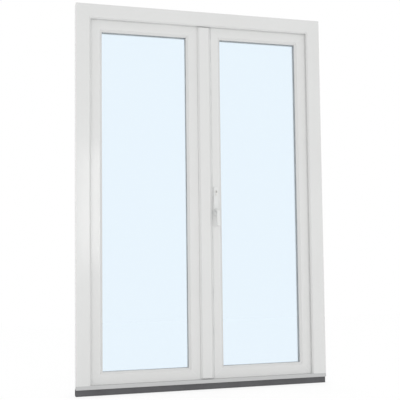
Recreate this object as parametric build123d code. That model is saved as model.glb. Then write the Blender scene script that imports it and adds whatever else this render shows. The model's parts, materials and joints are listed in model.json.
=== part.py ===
from build123d import *
import os

# Two-leaf balcony door, closed. X runs right as seen from outdoors, Y runs into the room, Z runs up.
# The origin is the centre of the base's underside, halfway through the frame. Sizes are in millimetres.
# Profiles are drawn as (across, deep): across from a member's outer edge, deep from the frame's outdoor face.

# Overall size
door_width = 1400
door_height = 2100
frame_depth = 70
half_width = door_width / 2
front = -frame_depth / 2

# Base and threshold
base_height = 35
base_set_back = 15
base_wall = 3
base_chambers = 3
threshold_height = 20
threshold_wall = 2
tread_height = 3
rib_height = 1
rib_width = 3
rib_count = 5
jamb_foot = base_height + threshold_height

# Frame profile
frame_face = 71
frame_bevel = 8
flange_depth = 19
rebate_floor = 58
face_round = 4
bevel_round = 3
flange_round = 1.5
rebate_round = 2
frame_gasket_width = 10
frame_gasket_inset = 1
frame_gasket_depth = 3
frame_lip_width = 4
frame_lip_gap = 1

# Leaf profile
leaf_set_back = 27
leaf_depth = frame_depth
leaf_play = 9
overlap_width = 21
overlap_play = 5
leaf_face = 62
leaf_bevel = 13
leaf_lip = 2
glazing_rebate = 20
leaf_bottom = 44
leaf_back = leaf_set_back + leaf_depth
leaf_edge = rebate_floor + leaf_play
overlap_edge = leaf_edge - overlap_width
glass_line = leaf_edge + leaf_face + leaf_bevel
glazing_floor = glass_line - glazing_rebate
leg_back = leaf_set_back + leaf_bevel + leaf_lip

# Glazing
pane_thickness = 4
pane_gap = 16
pane_play = 5
spacer_height = 11
outer_gasket_depth = 5
inner_gasket_depth = 3
inner_gasket_inset = 0.5
glazing_gasket_height = 10
bead_joint = 0.25
bead_side = 7
bead_slope = 9
pane_front = leg_back + outer_gasket_depth
spacer_front = pane_front + pane_thickness
spacer_back = spacer_front + pane_gap
pane_back = spacer_back + pane_thickness
bead_front = pane_back + inner_gasket_depth
pane_edge = glazing_floor + pane_play

# Meeting of the leaves: the false mullion rides on the left leaf
mullion_left = -27
mullion_right = 45
mullion_face = 10
mullion_bevel = 10
mullion_bottom = 60.6
mullion_head_gap = 6
mullion_cap = 4
left_meeting_edge = -15
right_meeting_edge = 53
right_edge_taper = 4.5
right_glass_edge = 106.5
seal_groove = 4
seal_depth = 7
seal_tip = 52.2
seal_tip_depth = 1
seal_nose = 5.5
seal_nose_tip = 0.5
bottom_seal_near = 40
bottom_seal_far = 46
bottom_seal_drop = 3.5

# Hinges
hinge_play = 8
hinge_rise = 12
hinge_radius = 6.5
pin_radius = 3.5
pin_clearance = 0.3
pin_end_gap = 2
lower_hinge_rise = 17
upper_hinge_drop = 220
frame_knuckle = 50
leaf_knuckle = 64
knuckle_gap = 1
knuckle_cap = 4
hinge_plate = 3
bracket_margin = 6
bracket_arm = 5
arm_lap = 2
web_lap = 1
band_reach = 46

# Handle and lock
handle_x = 71.5
spindle_z = 984
cylinder_rise = 104
plate_width = 28
plate_bottom = 953
plate_top = 1117
plate_thickness = 9
plate_corner = 12
plate_chamfer = 2
spindle_side = 7
spindle_bore = 6
collar_radius = 11
collar_socket = 5
collar_rise = 5
collar_clearance = 0.3
lever_width = 20
lever_thickness = 13
lever_standoff = 45
lever_length = 90
lever_bend = 18
lever_corner = 4
lever_chamfer = 2
spindle_grip = 20
cylinder_radius = 8.5
cylinder_tail = 5
cylinder_drop = 19.5
cylinder_clearance = 0.25
cylinder_proud = 2
keyway_width = 3
keyway_height = 10
keyway_depth = 6
keyway_drop = 1.5
faceplate_width = 16
faceplate_thickness = 3
faceplate_margin = 120
keep_length = 64
keep_slot = 34
keep_slot_width = 7
keep_count = 4

sides = ("left", "top", "right", "bottom")
nodes = {}


def rounded_face(points, rounding):
    """Face through the points, with each listed corner rounded to its radius."""
    face = make_face(Polyline(*points, close=True))
    for corner, radius in rounding:
        vertex = face.vertices().sort_by_distance(Vector(*corner))[0]
        face = fillet(vertex, radius)
    return face


def cut_length(profile, length, first_mitre=True, last_mitre=True, joint=0.0):
    """Profile run along local Z, with each mitred end sloping in at 45 degrees."""
    reach = profile.bounding_box().max.X
    first = reach if first_mitre else 0
    last = reach if last_mitre else 0
    outline = Polyline(
        (0, joint),
        (0, length - joint),
        (reach, length - last - joint),
        (reach, first + joint),
        close=True,
    )
    wedge = extrude(Plane.XZ * make_face(outline), amount=4 * frame_depth, both=True)
    return extrude(profile, amount=length) & wedge


def side_plane(box, side):
    """Plane at the start of one side of a box in the door's plane, with local X pointing inwards."""
    left, right, bottom, top = box
    planes = {
        "left": Plane((left, front, bottom), x_dir=(1, 0, 0), z_dir=(0, 0, 1)),
        "top": Plane((left, front, top), x_dir=(0, 0, -1), z_dir=(1, 0, 0)),
        "right": Plane((right, front, top), x_dir=(-1, 0, 0), z_dir=(0, 0, -1)),
        "bottom": Plane((right, front, bottom), x_dir=(0, 0, 1), z_dir=(-1, 0, 0)),
    }
    return planes[side]


def side_length(box, side):
    left, right, bottom, top = box
    return top - bottom if side in ("left", "right") else right - left


def mitred_sides(box, profile, joint=0.0):
    """The profile cut for each side of a box, mitred at all four corners."""
    pieces = []
    for side in sides:
        length = side_length(box, side)
        pieces.append(side_plane(box, side) * cut_length(profile, length, joint=joint))
    return pieces


def block(left, right, near, far, bottom, top):
    """Box between two places along each axis, with near and far counted from the outdoor face."""
    centre = Pos((left + right) / 2, front + (near + far) / 2, (bottom + top) / 2)
    return centre * Box(right - left, far - near, top - bottom)


def slab(box, inset, near, far):
    """Box in the door's plane, drawn in from a leaf's box on all four sides."""
    left, right, bottom, top = box
    return block(left + inset, right - inset, near, far, bottom + inset, top - inset)


def ring(box, outer, inner, near, far):
    return slab(box, outer, near, far) - slab(box, inner, near, far)


def joined(pieces):
    """One shape from several, touching or not."""
    whole = pieces[0]
    for piece in pieces[1:]:
        whole = whole + piece
    return whole


# Base: an extruded hollow profile, open at its ends
base = block(-half_width, half_width, base_set_back, frame_depth, 0, base_height)
chamber_width = (frame_depth - base_set_back - base_wall) / base_chambers - base_wall
for number in range(base_chambers):
    chamber_near = base_set_back + base_wall + number * (chamber_width + base_wall)
    chamber_far = chamber_near + chamber_width
    base -= block(-half_width, half_width, chamber_near, chamber_far, base_wall, base_height - base_wall)
nodes["threshold_base"] = base

# Threshold: a hollow upstand that the leaves close against, and a ribbed tread behind it
tread_top = base_height + tread_height
upstand = rounded_face(
    [(0, base_height), (flange_depth, base_height), (flange_depth, jamb_foot), (0, jamb_foot)],
    [((flange_depth, jamb_foot), flange_round)],
)
upstand_hollow = Pos(flange_depth / 2, base_height + threshold_height / 2) * Rectangle(
    flange_depth - 2 * threshold_wall,
    threshold_height - 2 * threshold_wall,
)
threshold_plane = Plane((-half_width, front, 0), x_dir=(0, 1, 0), z_dir=(1, 0, 0))
threshold = threshold_plane * extrude(upstand - upstand_hollow, amount=door_width)
threshold += block(-half_width, half_width, flange_depth, frame_depth, base_height, tread_top)
rib_pitch = (frame_depth - flange_depth) / (rib_count + 1)
rib_ends = half_width - rebate_floor
for number in range(rib_count):
    rib_near = flange_depth + (number + 1) * rib_pitch - rib_width / 2
    threshold += block(-rib_ends, rib_ends, rib_near, rib_near + rib_width, tread_top, tread_top + rib_height)
nodes["threshold"] = threshold

connector = block(-half_width, -half_width + rebate_floor, flange_depth, frame_depth, tread_top, jamb_foot)
nodes["left_threshold_connector"] = connector
nodes["right_threshold_connector"] = mirror(connector, about=Plane.YZ)

# Frame: one profile, mitred at the head and square on the threshold
flange_edge = frame_face + frame_bevel
frame_profile = rounded_face(
    [
        (0, 0),
        (frame_face, 0),
        (flange_edge, frame_bevel),
        (flange_edge, flange_depth),
        (rebate_floor, flange_depth),
        (rebate_floor, frame_depth),
        (0, frame_depth),
    ],
    [
        ((frame_face, 0), face_round),
        ((flange_edge, frame_bevel), bevel_round),
        ((flange_edge, flange_depth), flange_round),
        ((rebate_floor, frame_depth), rebate_round),
    ],
)
frame_box = (-half_width, half_width, jamb_foot, door_height)
jamb_length = side_length(frame_box, "left")
head_length = side_length(frame_box, "top")
nodes["left_jamb"] = side_plane(frame_box, "left") * cut_length(frame_profile, jamb_length, False, True)
nodes["head"] = side_plane(frame_box, "top") * cut_length(frame_profile, head_length)
nodes["right_jamb"] = side_plane(frame_box, "right") * cut_length(frame_profile, jamb_length, True, False)

# The frame gasket lines the back of the flange and of the threshold's upstand, with a lip just off the leaves
gasket_inner = flange_edge - frame_gasket_inset
gasket_outer = gasket_inner - frame_gasket_width
gasket_box = (-half_width, half_width, leaf_bottom - gasket_outer, door_height)
gasket_back = flange_depth + frame_gasket_depth
lip_back = leaf_set_back - frame_lip_gap
gasket_profile = make_face(
    Polyline(
        (gasket_outer, flange_depth),
        (gasket_inner, flange_depth),
        (gasket_inner, lip_back),
        (gasket_inner - frame_lip_width, lip_back),
        (gasket_outer, gasket_back),
        close=True,
    )
)
nodes["frame_gasket"] = joined(mitred_sides(gasket_box, gasket_profile))

# Leaf profiles: the hinge stile and top rail overlap the frame indoors, the others are plain
glazing_points = [
    (leaf_edge + leaf_face, leaf_set_back),
    (glass_line, leaf_set_back + leaf_bevel),
    (glass_line, leg_back),
    (glazing_floor, leg_back),
    (glazing_floor, leaf_back),
]
bevel_rounding = [((leaf_edge + leaf_face, leaf_set_back), face_round)]
overlap_front = frame_depth + overlap_play
overlap_points = [(overlap_edge, leaf_back), (overlap_edge, overlap_front), (leaf_edge, overlap_front)]
overlap_profile = rounded_face(
    [(leaf_edge, leaf_set_back), *glazing_points, *overlap_points],
    [*bevel_rounding, ((overlap_edge, leaf_back), face_round)],
)
plain_profile = rounded_face(
    [(leaf_edge, leaf_set_back), *glazing_points, (leaf_edge, leaf_back)],
    bevel_rounding,
)
bead_crest = glass_line - bead_slope
bead_profile = rounded_face(
    [
        (glazing_floor, bead_front),
        (glass_line, bead_front),
        (glass_line, bead_front + bead_side),
        (bead_crest, leaf_back),
        (glazing_floor, leaf_back),
    ],
    [((glass_line, bead_front + bead_side), bevel_round), ((bead_crest, leaf_back), face_round)],
)


def build_leaf(name, box, hinge_side, trim):
    """Stiles, rails and glazing of one leaf, cut to the trim solid at its meeting edge and bottom."""
    meeting_side = "right" if hinge_side == "left" else "left"
    members = {
        "hinge_stile": (hinge_side, overlap_profile),
        "meeting_stile": (meeting_side, plain_profile),
        "top_rail": ("top", overlap_profile),
        "bottom_rail": ("bottom", plain_profile),
    }
    for member, (side, profile) in members.items():
        length = side_length(box, side)
        nodes[f"{name}_{member}"] = (side_plane(box, side) * cut_length(profile, length)) & trim
    nodes[f"{name}_outer_pane"] = slab(box, pane_edge, pane_front, spacer_front)
    nodes[f"{name}_inner_pane"] = slab(box, pane_edge, spacer_back, pane_back)
    nodes[f"{name}_spacer"] = ring(box, pane_edge, pane_edge + spacer_height, spacer_front, spacer_back)
    gasket_outside = glass_line - glazing_gasket_height
    nodes[f"{name}_outer_gasket"] = ring(box, gasket_outside, glass_line, leg_back, pane_front)
    gasket_inside = glass_line - inner_gasket_inset
    nodes[f"{name}_inner_gasket"] = ring(box, gasket_outside, gasket_inside, pane_back, bead_front)
    nodes[f"{name}_glazing_beads"] = joined(mitred_sides(box, bead_profile, bead_joint))


leaf_bottom_line = leaf_bottom - leaf_edge
left_box = (-half_width, left_meeting_edge + leaf_edge, leaf_bottom_line, door_height)
left_trim = block(-half_width, left_meeting_edge, 0, 2 * leaf_back, leaf_bottom, door_height)
build_leaf("left_leaf", left_box, "left", left_trim)

# The right leaf's meeting edge tapers away indoors, so that the left leaf can swing past it
right_box = (right_glass_edge - glass_line, half_width, leaf_bottom_line, door_height)
right_trim_outline = Polyline(
    (right_meeting_edge, front + leaf_set_back),
    (half_width, front + leaf_set_back),
    (half_width, front + leaf_back),
    (right_meeting_edge + right_edge_taper, front + leaf_back),
    close=True,
)
right_trim = Pos(0, 0, leaf_bottom) * extrude(make_face(right_trim_outline), amount=door_height - leaf_bottom)
build_leaf("right_leaf", right_box, "right", right_trim)

# False mullion: a bevelled cover over the joint, on a body that closes the space between the leaves
seal_floor = mullion_right - seal_groove
seal_back = leaf_set_back + seal_depth
leaf_top = door_height - leaf_edge
cover_shape = rounded_face(
    [
        (mullion_left, leaf_set_back),
        (mullion_left, mullion_face + mullion_bevel),
        (mullion_left + mullion_bevel, mullion_face),
        (mullion_right - mullion_bevel, mullion_face),
        (mullion_right, mullion_face + mullion_bevel),
        (mullion_right, leaf_set_back),
    ],
    [
        ((mullion_left + mullion_bevel, mullion_face), face_round),
        ((mullion_right - mullion_bevel, mullion_face), face_round),
        ((mullion_left, mullion_face + mullion_bevel), bevel_round),
        ((mullion_right, mullion_face + mullion_bevel), bevel_round),
    ],
)
body_shape = make_face(
    Polyline(
        (left_meeting_edge, leaf_set_back),
        (seal_floor, leaf_set_back),
        (seal_floor, seal_back),
        (mullion_right, seal_back),
        (mullion_right, leaf_back),
        (left_meeting_edge, leaf_back),
        close=True,
    )
)
cover_top = door_height - flange_edge - mullion_head_gap
body_bottom = leaf_bottom + mullion_cap
body_top = leaf_top - mullion_cap
cover = Pos(0, front, mullion_bottom) * extrude(cover_shape, amount=cover_top - mullion_bottom)
body = Pos(0, front, body_bottom) * extrude(body_shape, amount=body_top - body_bottom)
nodes["false_mullion"] = cover + body

# The upper cap carries the overlap line on across the joint
overlap_top = door_height - overlap_edge
lower_cap = block(left_meeting_edge, mullion_right, seal_back, leaf_back, leaf_bottom, body_bottom)
upper_cap = block(left_meeting_edge, mullion_right, seal_back, leaf_back, body_top, leaf_top)
upper_cap += block(left_meeting_edge, mullion_right, overlap_front, leaf_back, leaf_top, overlap_top)
nodes["false_mullion_caps"] = lower_cap + upper_cap

# Meeting seal: a soft lip in the mullion's groove that reaches almost to the right leaf
# Its nose carries the slope of the cover on to the lip's tip
root_shape = make_face(
    Polyline(
        (seal_floor, leaf_set_back),
        (seal_tip, leaf_set_back),
        (seal_tip, leaf_set_back + seal_tip_depth),
        (mullion_right, seal_back),
        (seal_floor, seal_back),
        close=True,
    )
)
nose_shape = make_face(
    Polyline(
        (mullion_right, leaf_set_back),
        (mullion_right, leaf_set_back - seal_nose),
        (seal_tip, leaf_set_back - seal_nose_tip),
        (seal_tip, leaf_set_back),
        close=True,
    )
)
seal_root = Pos(0, front, body_bottom) * extrude(root_shape, amount=body_top - body_bottom)
seal_front = Pos(0, front, mullion_bottom) * extrude(nose_shape, amount=cover_top - mullion_bottom)
nodes["meeting_seal"] = seal_root + seal_front

# Bottom seals: a strip under each leaf, just clear of the tread's ribs
seal_foot = leaf_bottom - bottom_seal_drop
seal_end = half_width - leaf_edge
left_seal = block(-seal_end, mullion_right, bottom_seal_near, bottom_seal_far, seal_foot, leaf_bottom)
right_seal_start = right_meeting_edge + right_edge_taper
right_seal = block(right_seal_start, seal_end, bottom_seal_near, bottom_seal_far, seal_foot, leaf_bottom)
nodes["left_leaf_bottom_seal"] = left_seal
nodes["right_leaf_bottom_seal"] = right_seal

# Hinges: a bracket with a pin on the frame, and a band with a bore on the leaf, drawn for the left side
frame_hinges = []
leaf_hinges = []
hinge_deep = frame_depth + hinge_rise
hinge_x = -half_width + overlap_edge - hinge_play
hinge_y = front + hinge_deep
overlap_side = -half_width + overlap_edge
plate_back = leaf_back + hinge_plate
arm_right = hinge_x + arm_lap
web_left = hinge_x + web_lap
pin_length = knuckle_gap + leaf_knuckle - knuckle_cap - pin_end_gap
for foot in (jamb_foot + lower_hinge_rise, door_height - upper_hinge_drop):
    knuckle_top = foot + frame_knuckle
    low = (Align.CENTER, Align.CENTER, Align.MIN)
    bracket_left = -half_width + bracket_margin
    bracket = block(bracket_left, arm_right, frame_depth, frame_depth + hinge_plate, foot, knuckle_top)
    bracket += block(hinge_x - bracket_arm, arm_right, frame_depth, hinge_deep, foot, knuckle_top)
    bracket += Pos(hinge_x, hinge_y, foot) * Cylinder(hinge_radius, frame_knuckle, align=low)
    bracket += Pos(hinge_x, hinge_y, knuckle_top) * Cylinder(pin_radius, pin_length, align=low)
    frame_hinges.append(bracket)
    band_foot = knuckle_top + knuckle_gap
    band_top = band_foot + leaf_knuckle
    band = block(web_left, overlap_side, hinge_deep, plate_back, band_foot, band_top)
    band += block(web_left, overlap_side + band_reach, leaf_back, plate_back, band_foot, band_top)
    band += Pos(hinge_x, hinge_y, band_foot) * Cylinder(hinge_radius, leaf_knuckle, align=low)
    bore = Cylinder(pin_radius + pin_clearance, leaf_knuckle - knuckle_cap, align=low)
    leaf_hinges.append(band - Pos(hinge_x, hinge_y, band_foot) * bore)
nodes["left_frame_hinges"] = joined(frame_hinges)
nodes["left_leaf_hinges"] = joined(leaf_hinges)
nodes["right_frame_hinges"] = mirror(nodes["left_frame_hinges"], about=Plane.YZ)
nodes["right_leaf_hinges"] = mirror(nodes["left_leaf_hinges"], about=Plane.YZ)

# Handle furniture is drawn at the spindle on a leaf's face: local Y is up and local Z points off the leaf
outside = Plane((handle_x, front + leaf_set_back, spindle_z), x_dir=(1, 0, 0), z_dir=(0, -1, 0))
inside = Plane((handle_x, front + leaf_back, spindle_z), x_dir=(-1, 0, 0), z_dir=(0, 1, 0))


def cylinder_outline(clearance):
    """Round plug over a narrow tail, as a profile lock cylinder has."""
    plug = Circle(cylinder_radius + clearance)
    neck = Pos(0, -cylinder_drop / 2) * Rectangle(2 * (cylinder_tail + clearance), cylinder_drop)
    tail = Pos(0, -cylinder_drop) * Circle(cylinder_tail + clearance)
    return Pos(0, cylinder_rise) * (plug + neck + tail)


def handle_plate():
    """Narrow plate with a chamfered front, a socket for the lever's collar and a lock cylinder hole."""
    middle = (plate_bottom + plate_top) / 2 - spindle_z
    outline = Pos(0, middle) * RectangleRounded(plate_width, plate_top - plate_bottom, plate_corner)
    plate = extrude(outline, amount=plate_thickness)
    plate = chamfer(plate.faces().sort_by(Axis.Z)[-1].edges(), plate_chamfer)
    plate -= extrude(cylinder_outline(cylinder_clearance), amount=plate_thickness)
    plate -= extrude(Circle(spindle_bore), amount=plate_thickness)
    socket = extrude(Circle(collar_radius + collar_clearance), amount=collar_socket)
    return plate - Pos(0, 0, plate_thickness - collar_socket) * socket


def handle_lever():
    """Bar bent down from a round collar, rounded on its outer side, with a square socket for the spindle."""
    collar_foot = plate_thickness - collar_socket
    collar = Pos(0, 0, collar_foot) * extrude(Circle(collar_radius), amount=collar_socket + collar_rise)
    start = plate_thickness
    reach = plate_thickness + lever_standoff
    path = FilletPolyline((0, 0, start), (0, 0, reach), (0, -lever_length, reach), radius=lever_bend)
    section = fillet(Rectangle(lever_width, lever_thickness).vertices().group_by(Axis.Y)[-1], lever_corner)
    section = chamfer(section.vertices().group_by(Axis.Y)[0], lever_chamfer)
    bar = sweep(Pos(0, 0, start) * section, path=path)
    bar = chamfer(bar.faces().sort_by(Axis.Y)[0].edges(), lever_chamfer)
    socket = extrude(Rectangle(spindle_side, spindle_side), amount=plate_thickness + spindle_grip)
    return collar + bar - socket


plate = handle_plate()
lever = handle_lever()
nodes["outer_handle_plate"] = outside * plate
nodes["inner_handle_plate"] = inside * plate
nodes["outer_lever"] = outside * lever
nodes["inner_lever"] = inside * lever

spindle_reach = plate_thickness + spindle_grip
spindle_length = leaf_depth + 2 * spindle_reach
spindle = extrude(Rectangle(spindle_side, spindle_side), amount=spindle_length)
nodes["spindle"] = outside * (Pos(0, 0, -leaf_depth - spindle_reach) * spindle)

# Lock cylinder, with a keyway at each end
cylinder_reach = plate_thickness + cylinder_proud
cylinder = extrude(cylinder_outline(0), amount=leaf_depth + 2 * cylinder_reach)
keyway = Pos(0, cylinder_rise - keyway_drop) * Rectangle(keyway_width, keyway_height)
cylinder -= extrude(keyway, amount=keyway_depth)
cylinder -= Pos(0, 0, leaf_depth + 2 * cylinder_reach - keyway_depth) * extrude(keyway, amount=keyway_depth)
nodes["lock_cylinder"] = outside * (Pos(0, 0, -leaf_depth - cylinder_reach) * cylinder)

# The right meeting stile is bored for the lock and spindle and grooved for the faceplate
stile = nodes["right_leaf_meeting_stile"]
lock_bores = extrude(cylinder_outline(cylinder_clearance) + Circle(spindle_bore), amount=-leaf_depth)
stile -= outside * lock_bores
faceplate_deep = leaf_set_back + leaf_depth / 2
faceplate_low = leaf_bottom + faceplate_margin
faceplate_high = door_height - faceplate_margin
faceplate_left = right_meeting_edge + right_edge_taper * (0.5 + faceplate_width / leaf_depth / 2)
faceplate = block(
    faceplate_left,
    faceplate_left + faceplate_thickness,
    faceplate_deep - faceplate_width / 2,
    faceplate_deep + faceplate_width / 2,
    faceplate_low,
    faceplate_high,
)
faceplate_groove = block(
    mullion_right,
    faceplate_left + faceplate_thickness,
    faceplate_deep - faceplate_width / 2,
    faceplate_deep + faceplate_width / 2,
    faceplate_low,
    faceplate_high,
)
nodes["right_leaf_meeting_stile"] = stile - faceplate_groove
nodes["lock_faceplate"] = faceplate

# Keeps: slotted plates let into the mullion's edge, spread along the faceplate
keeps = []
keep_pitch = (faceplate_high - faceplate_low) / keep_count
keep_near = faceplate_deep - faceplate_width / 2
keep_far = faceplate_deep + faceplate_width / 2
keep_left = mullion_right - faceplate_thickness
for number in range(keep_count):
    middle = faceplate_low + (number + 0.5) * keep_pitch
    keep_low = middle - keep_length / 2
    keep_high = middle + keep_length / 2
    keep = block(keep_left, mullion_right, keep_near, keep_far, keep_low, keep_high)
    nodes["false_mullion"] -= keep
    slot_near = faceplate_deep - keep_slot_width / 2
    slot_far = faceplate_deep + keep_slot_width / 2
    slot_low = middle - keep_slot / 2
    slot_high = middle + keep_slot / 2
    keeps.append(keep - block(keep_left, mullion_right, slot_near, slot_far, slot_low, slot_high))
nodes["mullion_keeps"] = joined(keeps)

os.makedirs("parts", exist_ok=True)
for name, shape in nodes.items():
    export_step(shape, f"parts/{name}.step")
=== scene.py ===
import json
import math

import bmesh
import bpy
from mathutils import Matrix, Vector


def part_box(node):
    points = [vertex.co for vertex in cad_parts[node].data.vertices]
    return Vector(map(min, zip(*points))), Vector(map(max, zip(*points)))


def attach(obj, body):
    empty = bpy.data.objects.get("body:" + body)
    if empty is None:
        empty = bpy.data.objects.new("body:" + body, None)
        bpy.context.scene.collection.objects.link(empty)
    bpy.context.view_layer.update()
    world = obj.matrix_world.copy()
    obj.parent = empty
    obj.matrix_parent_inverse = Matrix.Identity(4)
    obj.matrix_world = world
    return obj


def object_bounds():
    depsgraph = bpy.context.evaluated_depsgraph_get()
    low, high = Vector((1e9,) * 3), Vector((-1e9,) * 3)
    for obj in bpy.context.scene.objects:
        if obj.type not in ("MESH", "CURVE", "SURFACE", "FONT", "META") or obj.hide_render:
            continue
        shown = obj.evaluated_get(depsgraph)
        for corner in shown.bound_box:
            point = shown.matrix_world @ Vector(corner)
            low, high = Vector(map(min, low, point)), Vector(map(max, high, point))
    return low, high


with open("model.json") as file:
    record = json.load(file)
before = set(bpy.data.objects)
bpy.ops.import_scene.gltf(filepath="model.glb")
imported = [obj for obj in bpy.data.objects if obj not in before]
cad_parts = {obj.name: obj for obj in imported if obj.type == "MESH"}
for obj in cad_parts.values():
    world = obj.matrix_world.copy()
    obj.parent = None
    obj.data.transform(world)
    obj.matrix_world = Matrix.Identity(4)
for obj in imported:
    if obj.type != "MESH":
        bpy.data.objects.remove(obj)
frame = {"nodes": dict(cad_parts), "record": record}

cad_low, cad_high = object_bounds()
nodes = frame["nodes"]
scene = bpy.context.scene

# Camera: left of the door, a little under half its height, turned right and tilted up
camera_place = (-1.0648, -4.4039, 0.6553)
camera_turn_deg = (94.0507, 0.8931, -16.7759)
camera_lens_mm = 73.173
camera_sensor_mm = 36
camera_shift = (-0.1232, 0.0275)

# Light levels, and where the lamps stand, in metres
ambient_left = 0.66
ambient_right = 0.80
front_level = 3.2
front_place = (-0.6, -9.0, 1.05)
front_target = (0, 0, 0.9)
front_size = (12.0, 1.9)
back_level = 0.75
back_from = (0.5, 3.0, 1.1)
back_spread_deg = 60
window_target = (-0.60, 0, 1.0)
stile_window_level = 10.0
stile_window_place = (-0.136, -4.4, 1.367)
stile_window_size = (0.13, 1.24)
jamb_window_level = 0.9
jamb_window_place = (-0.263, -4.4, 1.367)
jamb_window_size = (0.124, 1.24)

# Floor
floor_size = 12
floor_drop = 0.0005
floor_glow = 0.80
floor_seen = 0.24
floor_bounce = 0.93

# Surface detail: features a metre, depths in metres, and the spread of shade and roughness
noise_middle = (0.3, 0.7)
plastic_colour = (0.727, 0.731, 0.725)
plastic_shades = (0.985, 1.012)
plastic_roughness = (0.13, 0.19)
plastic_lines_across = 900
plastic_lines_along = 3
plastic_line_depth = 0.000004
plastic_clouds = 2.5
plastic_peel = 350
plastic_peel_depth = 0.00001
brushed_shades = (0.93, 1.05)
brushed_roughness_spread = (-0.06, 0.08)
brushed_lines_across = 1500
brushed_lines_along = 8
brushed_depth = 0.00002
dull_shades = (0.88, 1.12)
dull_roughness_spread = (-0.07, 0.07)
dull_grain = 1400
dull_grain_depth = 0.00006
dull_patches = 14
coat_colour = (0.74, 0.75, 0.745)
coat_shades = (0.985, 1.01)
coat_roughness = (0.22, 0.30)
coat_peel = 700
coat_peel_depth = 0.00003
coat_clouds = 30
glass_tint = (0.90, 0.955, 0.995)
glass_ior = 1.45

# Added detail: lengths in metres, and shares of a screw's radius or height
screw_points = 24
screw_rim = 0.8
screw_sunk = 0.0002
cross_arm = 0.56
cross_width = 0.15
screw_edge_share = 0.4
cross_floor_share = 0.1
screw_turn_step = 0.7
plate_screw = 0.0034
hinge_screw = 0.0038
lock_screw = 0.0032
screw_proud = 0.0006
lock_screw_proud = 0.0004
plate_screw_margin = 0.0095
band_height = 0.064
band_screws = ((0.012, 0.18), (0.012, 0.82), (0.031, 0.5))
bracket_height = 0.050
pin_height = 0.059
bracket_screw_margin = 0.009
bracket_screw_shares = (0.22, 0.78)
hinge_plate = 0.003
ring_points = 40
washer_inner = 0.0040
washer_outer = 0.0062
washer_low = 0.0001
washer_high = 0.0009
faceplate_screws = 8
faceplate_screw_margin = 0.020
keep_count = 4
keep_length = 0.064
keep_screw_margin = 0.008
plug_middle = 0.0085
# Sizes and places of the near-black painted shade in the keyway and round the plug
plug_ring = (0.00690, 0.00715)
plug_ring_proud = 0.00004
keyway_drop = 0.0015
keyway_size = (0.0029, 0.0099)
keyway_depth = 0.006
keyway_sunk = 0.001
weld_width = 0.0013
weld_rise = 0.00005

# Tests that find the mitred ends of a member
merge_distance = 1e-6
mitre_tolerance = 0.01
least_facing = 0.3

# Colour sockets of a mix node
mix_first = 6
mix_second = 7
mix_result = 2


# Shader helpers

def new_material(name):
    """An empty node material with a Principled shader wired to its output."""
    material = bpy.data.materials.new(name)
    material.use_nodes = True
    tree = material.node_tree
    tree.nodes.clear()
    output = tree.nodes.new("ShaderNodeOutputMaterial")
    shader = tree.nodes.new("ShaderNodeBsdfPrincipled")
    tree.links.new(shader.outputs["BSDF"], output.inputs["Surface"])
    return material, tree, shader


def place_scaled(tree, scale):
    """Object coordinates, which are metres in the row frame, stretched by scale along X, Y and Z."""
    coordinates = tree.nodes.new("ShaderNodeTexCoord")
    mapping = tree.nodes.new("ShaderNodeMapping")
    mapping.inputs["Scale"].default_value = scale
    tree.links.new(coordinates.outputs["Object"], mapping.inputs["Vector"])
    return mapping.outputs["Vector"]


def noise(tree, scale, detail=2.0):
    """A noise texture of that many features a metre along X, Y and Z."""
    texture = tree.nodes.new("ShaderNodeTexNoise")
    texture.inputs["Scale"].default_value = 1.0
    texture.inputs["Detail"].default_value = detail
    tree.links.new(place_scaled(tree, scale), texture.inputs["Vector"])
    return texture.outputs["Fac"]


def spread(tree, value, low, high):
    """The value's middle range, spread from low to high."""
    node = tree.nodes.new("ShaderNodeMapRange")
    node.inputs["From Min"].default_value = noise_middle[0]
    node.inputs["From Max"].default_value = noise_middle[1]
    node.inputs["To Min"].default_value = low
    node.inputs["To Max"].default_value = high
    tree.links.new(value, node.inputs["Value"])
    return node.outputs["Result"]


def colour_between(tree, value, first, second):
    """A colour that goes from first to second with the value."""
    mix = tree.nodes.new("ShaderNodeMix")
    mix.data_type = "RGBA"
    mix.inputs[mix_first].default_value = (*first, 1)
    mix.inputs[mix_second].default_value = (*second, 1)
    tree.links.new(value, mix.inputs["Factor"])
    return mix.outputs[mix_result]


def bump(tree, shader, layers):
    """Stacks bump layers, each a height and its depth in metres, on the shader's normal."""
    last = None
    for height, depth in layers:
        node = tree.nodes.new("ShaderNodeBump")
        node.inputs["Distance"].default_value = depth
        tree.links.new(height, node.inputs["Height"])
        if last:
            tree.links.new(last, node.inputs["Normal"])
        last = node.outputs["Normal"]
    tree.links.new(last, shader.inputs["Normal"])


def shade(colour, factor):
    """A colour made lighter or darker."""
    return tuple(channel * factor for channel in colour)


def tint(tree, shader, value, colour, shades):
    """Gives the shader a colour that goes from its first shade to its second with the value."""
    paint = colour_between(tree, spread(tree, value, 0, 1), *[shade(colour, factor) for factor in shades])
    tree.links.new(paint, shader.inputs["Base Color"])


def gloss(tree, shader, value, low, high):
    """Gives the shader a roughness that goes from low to high with the value."""
    tree.links.new(spread(tree, value, low, high), shader.inputs["Roughness"])


def lines_along(axis, across, along):
    """Features a metre along X, Y and Z for lines that run along one axis."""
    return [along if name == axis else across for name in "XYZ"]


# Materials

def white_plastic(name, along):
    """Extruded white plastic: die lines along the member, a faint orange peel and an uneven gloss."""
    material, tree, shader = new_material(name)
    cloud = noise(tree, (plastic_clouds,) * 3, 3)
    streak = noise(tree, lines_along(along, plastic_lines_across, plastic_lines_along))
    peel = noise(tree, (plastic_peel,) * 3, 1)
    tint(tree, shader, cloud, plastic_colour, plastic_shades)
    gloss(tree, shader, streak, *plastic_roughness)
    bump(tree, shader, [(peel, plastic_peel_depth), (streak, plastic_line_depth)])
    return material


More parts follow.
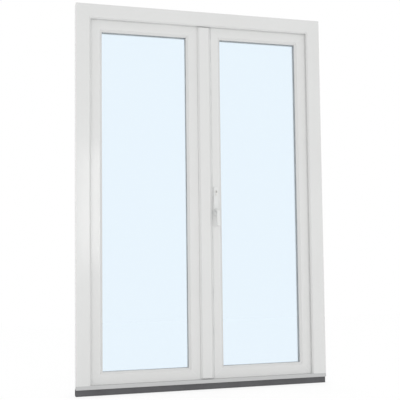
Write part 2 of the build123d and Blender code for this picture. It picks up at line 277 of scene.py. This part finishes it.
def aluminium(name, colour, along, roughness):
    """Anodised aluminium, brushed along one axis."""
    material, tree, shader = new_material(name)
    shader.inputs["Metallic"].default_value = 1
    streak = noise(tree, lines_along(along, brushed_lines_across, brushed_lines_along), 3)
    tint(tree, shader, streak, colour, brushed_shades)
    gloss(tree, shader, streak, *[roughness + step for step in brushed_roughness_spread])
    bump(tree, shader, [(streak, brushed_depth)])
    return material


def grained_plastic(name, colour, roughness):
    """Dull moulded plastic or rubber with a fine grain and small patches of wear."""
    material, tree, shader = new_material(name)
    grain = noise(tree, (dull_grain,) * 3, 2)
    patch = noise(tree, (dull_patches,) * 3, 4)
    tint(tree, shader, patch, colour, dull_shades)
    gloss(tree, shader, patch, *[roughness + step for step in dull_roughness_spread])
    bump(tree, shader, [(grain, dull_grain_depth)])
    return material


def pane_glass():
    """Clear float glass with a pale blue tint."""
    material, _, shader = new_material("pane_glass")
    shader.inputs["Base Color"].default_value = (*glass_tint, 1)
    shader.inputs["Roughness"].default_value = 0
    shader.inputs["IOR"].default_value = glass_ior
    shader.inputs["Transmission Weight"].default_value = 1
    return material


def powder_coat():
    """White powder coat with its fine orange peel."""
    material, tree, shader = new_material("powder_coat")
    peel = noise(tree, (coat_peel,) * 3, 1)
    cloud = noise(tree, (coat_clouds,) * 3, 2)
    tint(tree, shader, cloud, coat_colour, coat_shades)
    gloss(tree, shader, cloud, *coat_roughness)
    bump(tree, shader, [(peel, coat_peel_depth)])
    return material


upright_plastic = white_plastic("upright_white_plastic", "Z")
level_plastic = white_plastic("level_white_plastic", "X")
coated_metal = powder_coat()
finishes = {
    "threshold_aluminium": aluminium("threshold_aluminium", (0.56, 0.565, 0.565), "X", 0.42),
    "base_plastic": grained_plastic("base_plastic", (0.10, 0.10, 0.105), 0.55),
    "rubber": grained_plastic("gasket_rubber", (0.62, 0.63, 0.632), 0.65),
    "soft_lip": grained_plastic("soft_lip", (0.68, 0.69, 0.685), 0.55),
    "glass": pane_glass(),
    "spacer": aluminium("spacer_aluminium", (0.58, 0.59, 0.60), "Z", 0.38),
    "white_metal": coated_metal,
    "steel": aluminium("brushed_steel", (0.52, 0.52, 0.52), "Z", 0.30),
    "nickel": aluminium("satin_nickel", (0.74, 0.74, 0.72), "X", 0.28),
}
level_words = ("rail", "head", "threshold")


def finish_of(node, slot):
    """The material of a CAD node: white plastic follows the member's length."""
    if slot != "white_plastic":
        return finishes[slot]
    if any(word in node for word in level_words):
        return level_plastic
    return upright_plastic


for row in frame["record"]["subparts"]:
    piece = nodes[row["node"]]
    piece.data.materials.clear()
    piece.data.materials.append(finish_of(row["node"], row["material_slot"]))
    # Lamps and bounced light pass the panes, so the gaskets and spacers behind them are lit
    if row["material_slot"] == "glass":
        piece.visible_shadow = False
        piece.visible_diffuse = False


# Added detail: screw heads, hinge washers, near-black painted shade in the keyways and round the plugs, and
# the scraped welds of the mitres

# Near-black painted shade, put inside the keyways and in the gap round each plug
key_shadow = grained_plastic("key_shadow", (0.012, 0.012, 0.012), 0.6)
weld_plastic = grained_plastic("scraped_weld", (0.720, 0.724, 0.718), 0.34)


def add_piece(name, shape, material, body):
    """Turns a bmesh into a named piece that rides on a body."""
    bmesh.ops.recalc_face_normals(shape, faces=shape.faces)
    mesh = bpy.data.meshes.new(name)
    shape.to_mesh(mesh)
    shape.free()
    mesh.materials.append(material)
    piece = bpy.data.objects.new(name, mesh)
    scene.collection.objects.link(piece)
    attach(piece, body)


def circle_points(radius, count):
    """Points round a circle."""
    turns = [math.tau * step / count for step in range(count)]
    return [(radius * math.cos(turn), radius * math.sin(turn)) for turn in turns]


def cross_points(arm, half):
    """The twelve corners of a cross, in order."""
    points = []
    for quarter in range(4):
        turn = math.tau * quarter / 4
        for along, aside in ((arm, -half), (arm, half), (half, half)):
            points.append((
                along * math.cos(turn) - aside * math.sin(turn),
                along * math.sin(turn) + aside * math.cos(turn),
            ))
    return points


def loop_edges(shape, loop):
    """The closed chain of edges through a loop of points."""
    pairs = zip(loop, loop[1:] + loop[:1])
    return [shape.edges.get(pair) or shape.edges.new(pair) for pair in pairs]


def wall(shape, first, second):
    """Quads between two loops of as many points."""
    for step in range(len(first)):
        after = (step + 1) % len(first)
        shape.faces.new((first[step], first[after], second[after], second[step]))


def screw_head(shape, place, outward, radius, proud, turn):
    """A raised screw head with a cross recess, standing out from place."""
    facing = Vector(outward).to_track_quat("Z", "Y")

    def loop(points, height):
        made = []
        for across, up in points:
            spun = Vector((
                across * math.cos(turn) - up * math.sin(turn),
                across * math.sin(turn) + up * math.cos(turn),
                height,
            ))
            made.append(shape.verts.new(Vector(place) + facing @ spun))
        return made

    foot = loop(circle_points(radius, screw_points), -screw_sunk)
    rim = loop(circle_points(radius, screw_points), proud * screw_edge_share)
    crown = loop(circle_points(radius * screw_rim, screw_points), proud)
    cross = cross_points(radius * cross_arm, radius * cross_width)
    mouth = loop(cross, proud)
    floor = loop(cross, proud * cross_floor_share)
    wall(shape, foot, rim)
    wall(shape, rim, crown)
    wall(shape, mouth, floor)
    shape.faces.new(foot)
    edges = loop_edges(shape, crown) + loop_edges(shape, mouth)
    bmesh.ops.triangle_fill(shape, edges=edges, use_beauty=True, normal=facing @ Vector((0, 0, 1)))
    bmesh.ops.triangle_fill(shape, edges=loop_edges(shape, floor), use_beauty=True)


def screw_row(name, spots, outward, radius, proud, material, body, slot):
    """Screw heads at several spots, each turned a little further than the last."""
    shape = bmesh.new()
    for number, spot in enumerate(spots):
        screw_head(shape, spot, outward, radius, proud, screw_turn_step * number)
    add_piece(name, shape, material, body)


def flat_ring(shape, centre, normal, inner, outer, low, high):
    """A ring of rectangular section round an axis."""
    facing = Vector(normal).to_track_quat("Z", "Y")
    loops = []
    for radius, height in ((inner, low), (outer, low), (outer, high), (inner, high)):
        points = [Vector((*point, height)) for point in circle_points(radius, ring_points)]
        loops.append([shape.verts.new(Vector(centre) + facing @ point) for point in points])
    for first, second in zip(loops, loops[1:] + loops[:1]):
        wall(shape, first, second)


def box_shape(shape, low, high):
    """A plain block between two corners."""
    made = bmesh.ops.create_cube(shape, size=1)["verts"]
    size = Vector(high) - Vector(low)
    middle = (Vector(high) + Vector(low)) / 2
    bmesh.ops.scale(shape, vec=size, verts=made)
    bmesh.ops.translate(shape, vec=middle, verts=made)


def handle_screws():
    """The two screws of the inner handle plate."""
    low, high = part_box("inner_handle_plate")
    across = (low.x + high.x) / 2
    spots = [
        (across, high.y, low.z + plate_screw_margin),
        (across, high.y, high.z - plate_screw_margin),
    ]
    head = (plate_screw, screw_proud, coated_metal)
    screw_row("plate_screws", spots, (0, 1, 0), *head, "right_leaf", "white_metal")


joint_places = {joint["name"]: joint["pos_m"] for joint in frame["record"]["behaviour"]["joints"]}


def hinge_details(side, sign):
    """Screws and washers of the hinges on one side; sign is minus for the left."""
    inwards = (0, 1, 0)
    head = (hinge_screw, screw_proud, coated_metal)
    low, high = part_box(f"{side}_leaf_hinges")
    inner_edge = high.x if sign < 0 else low.x
    spots = []
    for foot in (low.z, high.z - band_height):
        for inset, share in band_screws:
            spots.append((inner_edge + sign * inset, high.y, foot + share * band_height))
    screw_row(f"{side}_band_screws", spots, inwards, *head, f"{side}_leaf", "white_metal")

    low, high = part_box(f"{side}_frame_hinges")
    outer_edge = low.x if sign < 0 else high.x
    across = outer_edge - sign * bracket_screw_margin
    axis = joint_places[f"{side}_leaf_swing"]
    feet = (low.z, high.z - pin_height - bracket_height)
    spots = []
    washers = bmesh.new()
    for foot in feet:
        for share in bracket_screw_shares:
            spots.append((across, low.y + hinge_plate, foot + share * bracket_height))
        axis_foot = (axis[0], axis[1], foot + bracket_height)
        flat_ring(washers, axis_foot, (0, 0, 1), washer_inner, washer_outer, washer_low, washer_high)
    screw_row(f"{side}_bracket_screws", spots, inwards, *head, "frame", "white_metal")
    add_piece(f"{side}_hinge_washers", washers, finishes["base_plastic"], "frame")


def lock_details():
    """Screws of the faceplate and keeps, and at each end of the cylinder near-black painted shade inside the
    keyway and in the gap round the plug.
    """
    low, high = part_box("lock_faceplate")
    deep = (low.y + high.y) / 2
    first = low.z + faceplate_screw_margin
    last = high.z - faceplate_screw_margin
    spots = []
    for number in range(faceplate_screws):
        spots.append((low.x, deep, first + (last - first) * number / (faceplate_screws - 1)))
    head = (lock_screw, lock_screw_proud, finishes["steel"])
    screw_row("faceplate_screws", spots, (-1, 0, 0), *head, "right_leaf", "steel")

    low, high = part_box("mullion_keeps")
    pitch = (high.z - low.z - keep_length) / (keep_count - 1)
    spots = []
    for number in range(keep_count):
        foot = low.z + number * pitch
        for height in (keep_screw_margin, keep_length - keep_screw_margin):
            spots.append((high.x, deep, foot + height))
    screw_row("keep_screws", spots, (1, 0, 0), *head, "left_leaf", "steel")

    low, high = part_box("lock_cylinder")
    across = (low.x + high.x) / 2
    up = high.z - plug_middle
    half_width, half_height = keyway_size[0] / 2, keyway_size[1] / 2
    keyway_shade = bmesh.new()
    rings = bmesh.new()
    for face, inwards in ((low.y, 1), (high.y, -1)):
        ends = sorted((face + inwards * keyway_sunk, face + inwards * keyway_depth))
        middle = up - keyway_drop
        # A near-black block inside the keyway, painted shade for its dark hollow
        box_shape(
            keyway_shade,
            (across - half_width, ends[0], middle - half_height),
            (across + half_width, ends[1], middle + half_height),
        )
        # A near-black ring on the face, painted shade for the gap round the plug
        flat_ring(rings, (across, face, up), (0, -inwards, 0), *plug_ring, -plug_ring_proud, plug_ring_proud)
    add_piece("keyway_shade", keyway_shade, key_shadow, "right_leaf")
    add_piece("plug_gap_shade", rings, key_shadow, "right_leaf")


def is_mitre(face):
    """True for a face cut at 45 degrees across the door's plane."""
    even = abs(abs(face.normal.x) - abs(face.normal.z)) < mitre_tolerance
    return even and abs(face.normal.y) < mitre_tolerance


def weld_flanks(node, along, body):
    """Narrow scraped bands along the mitred ends of a member, on its outdoor and indoor faces."""
    member = bmesh.new()
    member.from_mesh(nodes[node].data)
    bmesh.ops.remove_doubles(member, verts=member.verts, dist=merge_distance)
    member.normal_update()
    low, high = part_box(node)
    middle = (low + high) / 2
    axis = "XYZ".index(along)
    shape = bmesh.new()
    for edge in member.edges:
        cuts = [is_mitre(face) for face in edge.link_faces]
        if sorted(cuts) != [False, True]:
            continue
        normal = edge.link_faces[cuts.index(False)].normal
        if abs(normal.y) < least_facing:
            continue
        first, second = (corner.co for corner in edge.verts)
        run = Vector((0, 0, 0))
        run[axis] = math.copysign(weld_width, middle[axis] - first[axis])
        flank = (first, second, second + run, first + run)
        layers = []
        for rise in (-weld_rise, weld_rise):
            layers.append([shape.verts.new(point + normal * rise) for point in flank])
        wall(shape, *layers)
        for layer in layers:
            shape.faces.new(layer)
    member.free()
    add_piece(f"{node}_weld", shape, weld_plastic, body)


def mitre_welds():
    """The welds of the frame and of both leaves."""
    for node, along in (("left_jamb", "Z"), ("right_jamb", "Z"), ("head", "X")):
        weld_flanks(node, along, "frame")
    members = (("hinge_stile", "Z"), ("meeting_stile", "Z"), ("top_rail", "X"), ("bottom_rail", "X"))
    for leaf in ("left_leaf", "right_leaf"):
        for member, along in members:
            weld_flanks(f"{leaf}_{member}", along, leaf)


handle_screws()
hinge_details("left", -1)
hinge_details("right", 1)
lock_details()
mitre_welds()


# Stage

def light_path_share(tree):
    """One for rays that show the background: from the camera, off gloss or through glass."""
    path = tree.nodes.new("ShaderNodeLightPath")
    total = path.outputs["Is Camera Ray"]
    for other in ("Is Glossy Ray", "Is Transmission Ray"):
        either = tree.nodes.new("ShaderNodeMath")
        either.operation = "MAXIMUM"
        tree.links.new(total, either.inputs[0])
        tree.links.new(path.outputs[other], either.inputs[1])
        total = either.outputs["Value"]
    return total


def make_floor():
    """A wide pale floor that keeps the door's shadow and glows to white where it is seen."""
    bpy.ops.mesh.primitive_plane_add(size=floor_size, location=(0, 0, cad_low.z - floor_drop))
    floor = bpy.context.object
    floor.name = "floor"
    material = bpy.data.materials.new("floor")
    material.use_nodes = True
    tree = material.node_tree
    tree.nodes.clear()
    output = tree.nodes.new("ShaderNodeOutputMaterial")
    total = tree.nodes.new("ShaderNodeAddShader")
    diffuse = tree.nodes.new("ShaderNodeBsdfDiffuse")
    glow = tree.nodes.new("ShaderNodeEmission")
    share = light_path_share(tree)
    level = tree.nodes.new("ShaderNodeMath")
    level.operation = "MULTIPLY"
    level.inputs[1].default_value = floor_glow
    paint = colour_between(tree, share, (floor_bounce,) * 3, (floor_seen,) * 3)
    tree.links.new(paint, diffuse.inputs["Color"])
    tree.links.new(share, level.inputs[0])
    tree.links.new(level.outputs["Value"], glow.inputs["Strength"])
    tree.links.new(diffuse.outputs["BSDF"], total.inputs[0])
    tree.links.new(glow.outputs["Emission"], total.inputs[1])
    tree.links.new(total.outputs["Shader"], output.inputs["Surface"])
    floor.data.materials.append(material)


def make_world():
    """Soft light from all round, stronger from the right, seen as plain white."""
    world = bpy.data.worlds.new("studio")
    scene.world = world
    world.use_nodes = True
    tree = world.node_tree
    tree.nodes.clear()
    output = tree.nodes.new("ShaderNodeOutputWorld")
    background = tree.nodes.new("ShaderNodeBackground")
    background.inputs["Color"].default_value = (1, 1, 1, 1)
    direction = tree.nodes.new("ShaderNodeTexCoord")
    parts = tree.nodes.new("ShaderNodeSeparateXYZ")
    ambient = tree.nodes.new("ShaderNodeMapRange")
    ambient.inputs["From Min"].default_value = -1
    ambient.inputs["To Min"].default_value = ambient_left
    ambient.inputs["To Max"].default_value = ambient_right
    level = tree.nodes.new("ShaderNodeMapRange")
    level.inputs["To Max"].default_value = 1
    tree.links.new(direction.outputs["Generated"], parts.inputs["Vector"])
    tree.links.new(parts.outputs["X"], ambient.inputs["Value"])
    tree.links.new(ambient.outputs["Result"], level.inputs["To Min"])
    tree.links.new(light_path_share(tree), level.inputs["Value"])
    tree.links.new(level.outputs["Result"], background.inputs["Strength"])
    tree.links.new(background.outputs["Background"], output.inputs["Surface"])


def soft_panel(name, place, target, width, height, level):
    """A soft box that shines from place towards target with an even brightness."""
    lamp = bpy.data.lights.new(name, "AREA")
    lamp.shape = "RECTANGLE"
    lamp.size = width
    lamp.size_y = height
    lamp.energy = level * math.pi * width * height
    holder = bpy.data.objects.new(name, lamp)
    scene.collection.objects.link(holder)
    holder.location = place
    holder.rotation_euler = (Vector(target) - Vector(place)).to_track_quat("-Z", "Y").to_euler()
    return holder


def far_light(name, come_from, spread_deg, level):
    """An even light from far off, from the side that come_from points to, with soft shadows."""
    lamp = bpy.data.lights.new(name, "SUN")
    lamp.energy = level
    lamp.angle = math.radians(spread_deg)
    holder = bpy.data.objects.new(name, lamp)
    scene.collection.objects.link(holder)
    holder.rotation_euler = Vector(come_from).to_track_quat("Z", "Y").to_euler()
    return holder


def make_camera():
    """The camera at the photograph's viewing angle."""
    lens = bpy.data.cameras.new("camera")
    lens.sensor_width = camera_sensor_mm
    lens.lens = camera_lens_mm
    lens.shift_x, lens.shift_y = camera_shift
    camera = bpy.data.objects.new("camera", lens)
    scene.collection.objects.link(camera)
    camera.location = camera_place
    camera.rotation_euler = [math.radians(angle) for angle in camera_turn_deg]
    scene.camera = camera


make_floor()
make_world()
make_camera()
front = soft_panel("front", front_place, front_target, *front_size, front_level)
front.visible_glossy = False
back = far_light("back", back_from, back_spread_deg, back_level)
back.visible_glossy = False
stile_window = soft_panel(
    "stile_window", stile_window_place, window_target, *stile_window_size, stile_window_level
)
jamb_window = soft_panel(
    "jamb_window", jamb_window_place, window_target, *jamb_window_size, jamb_window_level
)
for lamp in (front, back, stile_window, jamb_window):
    lamp.visible_camera = False
    lamp.visible_transmission = False

scene.view_settings.view_transform = "Standard"
